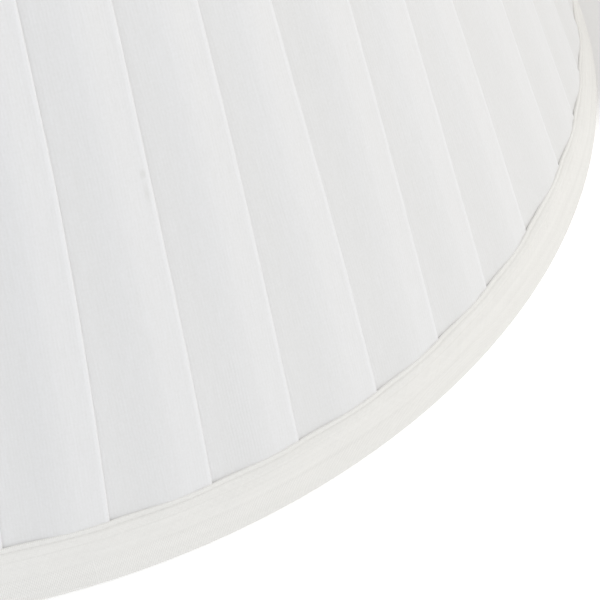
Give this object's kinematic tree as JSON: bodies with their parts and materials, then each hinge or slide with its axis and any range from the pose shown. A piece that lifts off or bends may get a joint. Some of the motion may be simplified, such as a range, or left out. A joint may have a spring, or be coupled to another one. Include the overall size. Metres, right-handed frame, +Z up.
{
  "type": "lamp shade",
  "caption": "Tapered empire lamp shade with a knife-pleated cloth cover over a wire frame, tape trims, and a reversible gimbal with a lamp holder ring and removable reducer.",
  "frame": {"origin": "centre of the bottom rim, at the level the shade stands on", "axes": "+Z up along the shade's axis, X along the gimbal's pivot axis"},
  "size_m": [0.305, 0.305, 0.18],
  "materials": {
    "frame_coating": "white baked coating on steel wire",
    "gimbal_coating": "white baked coating on pressed steel",
    "rivet_steel": "zinc plated",
    "washer_nylon": "natural nylon",
    "lining_cloth": "plain white lining cloth",
    "pleated_cloth": "white knife-pleated cotton",
    "trim_tape": "off-white bias tape",
    "reducer_plastic": "white moulded plastic"
  },
  "bodies": {
    "frame": {"top_ring": "frame_coating", "bottom_ring": "frame_coating", "strut_1": "frame_coating", "strut_2": "frame_coating", "strut_3": "frame_coating", "strut_4": "frame_coating", "strut_5": "frame_coating", "strut_6": "frame_coating", "strut_7": "frame_coating", "strut_8": "frame_coating", "pivot_lug_left": "frame_coating", "pivot_lug_right": "frame_coating", "pivot_rivet_left": "rivet_steel", "pivot_rivet_right": "rivet_steel", "pivot_washer_left": "washer_nylon", "pivot_washer_right": "washer_nylon", "lining": "lining_cloth", "pleated_cover": "pleated_cloth", "top_trim": "trim_tape", "bottom_trim": "trim_tape"},
    "gimbal": {"holder_ring": "gimbal_coating", "gimbal_arm_left": "gimbal_coating", "gimbal_arm_right": "gimbal_coating"},
    "reducer": {"reducer_ring": "reducer_plastic"}
  },
  "joints": [
    {"name": "gimbal_flip", "type": "hinge", "parent": "frame", "child": "gimbal", "pos_m": [0, 0, 0.1695], "axis": [1, 0, 0], "continuous": true},
    {"name": "reducer_lift", "type": "slide", "parent": "gimbal", "child": "reducer", "axis": [0, 0, 1], "range_m": [0, 0.045]}
  ]
}
